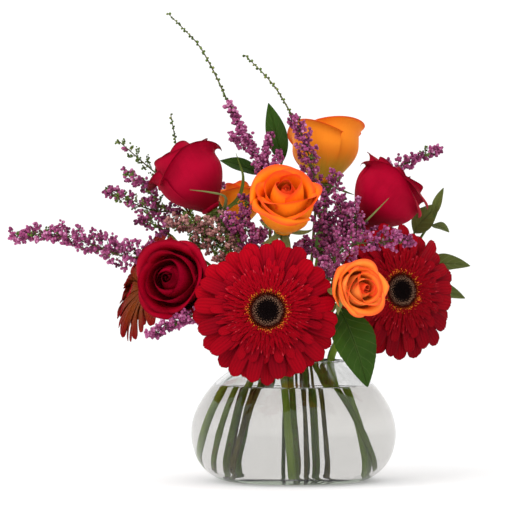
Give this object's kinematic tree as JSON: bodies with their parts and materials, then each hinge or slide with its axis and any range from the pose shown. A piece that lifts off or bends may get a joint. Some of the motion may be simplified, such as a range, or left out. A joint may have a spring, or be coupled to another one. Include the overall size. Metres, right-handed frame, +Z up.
{
  "type": "gerberas, roses and heather in a glass vase",
  "caption": "Flower arrangement of red gerberas, red and orange roses, purple heather and green leaves standing in water in a low round clear glass vase.",
  "frame": {"origin": "centre of the vase's flat foot, on the surface that it stands on", "axes": "+Z up the axis of the vase, -Y towards the front of the arrangement, +X to the right seen from the front"},
  "size_m": [0.3653, 0.2442, 0.3754],
  "materials": {
    "glass": "clear, colourless and smooth, with a faint green tone where it is thick",
    "water": "clear water",
    "red_rose_petal": "soft velvety deep red",
    "orange_rose_petal": "soft orange, yellower towards the stem, redder at the rims",
    "gerbera_petal": "matt scarlet, grooved lengthways",
    "gerbera_disc": "near black florets with a ring of orange-brown anthers",
    "gerbera_stem": "smooth pale green with fine hairs",
    "rose_stem": "green with brown-red blushes",
    "woody_twig": "thin brown bark",
    "green_twig": "green-brown with small buds",
    "heather_bells": "dull purple-pink",
    "faded_bells": "pink-brown over olive",
    "leaf": "satin dark green with paler veins"
  },
  "bodies": {
    "root": {"gerbera_front_disc": "gerbera_disc", "gerbera_front_petals": "gerbera_petal", "gerbera_front_stem": "gerbera_stem", "gerbera_left_disc": "gerbera_disc", "gerbera_left_petals": "gerbera_petal", "gerbera_left_stem": "gerbera_stem", "gerbera_right_disc": "gerbera_disc", "gerbera_right_petals": "gerbera_petal", "gerbera_right_stem": "gerbera_stem", "heather_back_left_flowers": "heather_bells", "heather_back_left_side": "heather_bells", "heather_back_left_stem": "woody_twig", "heather_back_right_flowers": "heather_bells", "heather_back_right_stem": "woody_twig", "heather_centre_left_brown": "faded_bells", "heather_centre_left_purple": "heather_bells", "heather_centre_left_stem": "woody_twig", "heather_centre_right_front": "heather_bells", "heather_centre_right_low": "heather_bells", "heather_centre_right_side": "heather_bells", "heather_centre_right_stem": "woody_twig", "heather_centre_right_upright": "heather_bells", "heather_front_left_flowers": "heather_bells", "heather_front_left_stem": "woody_twig", "heather_left_long": "heather_bells", "heather_left_middle": "heather_bells", "heather_left_stem": "woody_twig", "heather_right_flowers": "heather_bells", "heather_right_stem": "woody_twig", "heather_tall_left_flowers": "heather_bells", "heather_tall_left_flowers_tip": "green_twig", "heather_tall_left_stem": "woody_twig", "heather_tall_middle_flowers": "heather_bells", "heather_tall_middle_flowers_tip": "green_twig", "heather_tall_middle_side": "heather_bells", "heather_tall_middle_stem": "woody_twig", "heather_upper_left_lower": "heather_bells", "heather_upper_left_stem": "woody_twig", "heather_upper_left_upper": "heather_bells", "orange_rose_centre": "orange_rose_petal", "orange_rose_centre_stem": "rose_stem", "orange_rose_front": "orange_rose_petal", "orange_rose_front_stem": "rose_stem", "orange_rose_hidden": "orange_rose_petal", "orange_rose_hidden_stem": "rose_stem", "orange_rose_top": "orange_rose_petal", "orange_rose_top_stem": "rose_stem", "red_rose_lower_left": "red_rose_petal", "red_rose_lower_left_stem": "rose_stem", "red_rose_right": "red_rose_petal", "red_rose_right_stem": "rose_stem", "red_rose_upper_left": "red_rose_petal", "red_rose_upper_left_stem": "rose_stem", "ruscus_back_left": "leaf", "ruscus_back_right": "leaf", "ruscus_middle": "leaf", "ruscus_right": "leaf", "vase": "glass", "water": "water"}
  },
  "joints": []
}
